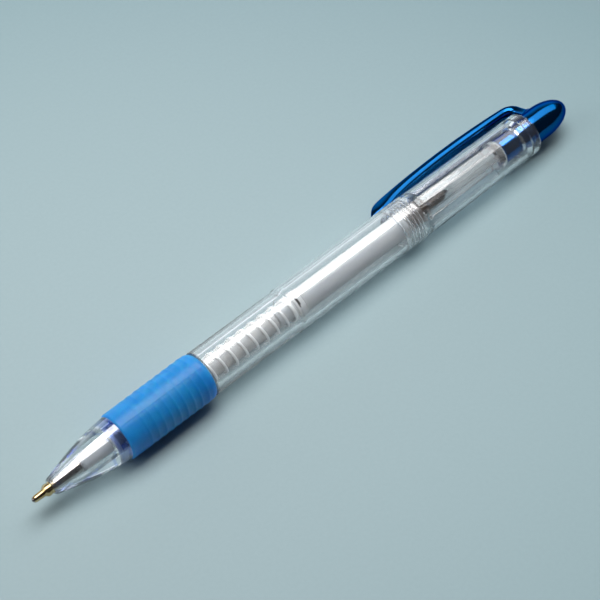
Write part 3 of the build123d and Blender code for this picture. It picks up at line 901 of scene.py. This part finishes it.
def floor_material():
    k = Mat("floor_card")
    k.set(IOR=1.4, Specular_IOR_Level=0.25)
    fibre = k.noise(1200, 4.0, 0.6)
    card = k.ramp(fibre, [(0.2, (0.292, 0.380, 0.405)), (0.8, (0.310, 0.400, 0.425))])
    # painted light falloff: the card's colour is multiplied per channel by a smooth quadratic in x and y, clamped to
    # 0.70-1.10, so it darkens across the floor
    x, y = (k.math("MULTIPLY", q, 12.5) for q in k.split(k.tc)[:2])
    terms = [x, y, k.math("MULTIPLY", x, x), k.math("MULTIPLY", x, y), k.math("MULTIPLY", y, y)]
    tone = k.nt.nodes.new("ShaderNodeCombineColor")
    for i, co in enumerate(FLOOR_PAINTED_FALLOFF):
        total = k.math("ADD", k.math("MULTIPLY", terms[0], co[1]), co[0])
        for q, c in zip(terms[1:], co[2:]):
            total = k.math("ADD", total, k.math("MULTIPLY", q, c))
        k.link(k.math("MINIMUM", k.math("MAXIMUM", total, 0.70), 1.10), tone.inputs[i])
    k.to(k.mix(1.0, card, tone.outputs[0], "MULTIPLY"), "Base Color")
    k.to(k.span(fibre, 0.72, 0.86, 0.3, 0.7), "Roughness")
    k.to(k.bump(fibre, 0.05, 0.00005), "Normal")
    return k.m


S = 6.0
floor = make("floor", [(-S, -S, 0), (S, -S, 0), (S, S, 0), (-S, S, 0)], [(0, 1, 2, 3)], weld=False)
floor.data.materials.append(floor_material())


def area(name, centre, aim, size, watts, colour=(1, 1, 1), spread=180):
    d = bpy.data.lights.new(name, "AREA")
    d.shape = "RECTANGLE"
    d.size, d.size_y = size
    d.energy = watts
    d.color = colour
    d.spread = math.radians(spread)
    o = bpy.data.objects.new(name, d)
    scene.collection.objects.link(o)
    o.location = centre
    f = (Vector(aim) - Vector(centre)).normalized()
    # the light's x side stays level with the pen, its y side across it
    x = Vector((1, 0, 0)) - f * f.x
    x.normalize()
    z = -f
    y = z.cross(x)
    o.matrix_world = Matrix.Translation(centre) @ Matrix((x, y, z)).transposed().to_4x4()
    return o


mid = Vector((0.0, AY * MM, AZ * MM))
n0 = Vector((0.0, -0.4959, 0.8684))
us = Vector((0.0, 0.8684, 0.4959))


def direction(theta, x):
    t = math.radians(theta)
    c = n0 * math.cos(t) + us * math.sin(t)
    return (c * math.sqrt(1 - x * x) + Vector((x, 0, 0))).normalized()


key_dir = direction(41.5, 0.36)
key_at = mid + key_dir * 0.85
key_x = (Vector((1, 0, 0)) - key_dir * key_dir.x).normalized()


def key_panel(name, x0, x1, height, radiance):
    """One rectangle of the softbox, from x0 to x1 along it, with its own brightness."""
    o = area(name, key_at, mid, (x1 - x0, height), radiance * math.pi * (x1 - x0) * height, (1.0, 0.985, 0.97))
    o.matrix_world.translation = key_at + key_x * (x0 + x1) / 2
    return o


key_panel("key_left", -0.78, 0.20, 0.55, 6.0)
key_panel("key_right", 0.20, 0.85, 0.55, 2.3)
area("fill_left", mid + direction(60, -0.80) * 1.6, mid, (0.8, 0.8), 6.0, (0.97, 0.985, 1.0))

w = bpy.data.worlds.new("studio")
scene.world = w
w.use_nodes = True
bg = w.node_tree.nodes["Background"]
bg.inputs[0].default_value = (0.80, 0.88, 0.95, 1)
wt = w.node_tree


def wnode(kind, **props):
    n = wt.nodes.new(kind)
    for k, v in props.items():
        setattr(n, k, v)
    return n


# a dark room with a pale wall low behind the pen
split = wnode("ShaderNodeSeparateXYZ")
wt.links.new(wnode("ShaderNodeTexCoord").outputs["Generated"], split.inputs[0])
low, behind = (wnode("ShaderNodeMapRange", interpolation_type="SMOOTHSTEP") for _ in range(2))
wt.links.new(split.outputs[2], low.inputs[0])
wt.links.new(split.outputs[1], behind.inputs[0])
low.inputs["From Min"].default_value, low.inputs["From Max"].default_value = 0.64, 0.12
behind.inputs["From Min"].default_value, behind.inputs["From Max"].default_value = 0.10, 0.65
wall, level = wnode("ShaderNodeMath", operation="MULTIPLY"), wnode("ShaderNodeMath", operation="MULTIPLY_ADD")
wt.links.new(low.outputs[0], wall.inputs[0])
wt.links.new(behind.outputs[0], wall.inputs[1])
wt.links.new(wall.outputs[0], level.inputs[0])
level.inputs[1].default_value, level.inputs[2].default_value = 1.25, 0.05
wt.links.new(level.outputs[0], bg.inputs[1])

scene.view_settings.view_transform = "Standard"
scene.view_settings.look = "None"
scene.cycles.max_bounces = 24
scene.cycles.transmission_bounces = 20
scene.cycles.transparent_max_bounces = 24
scene.cycles.glossy_bounces = 8
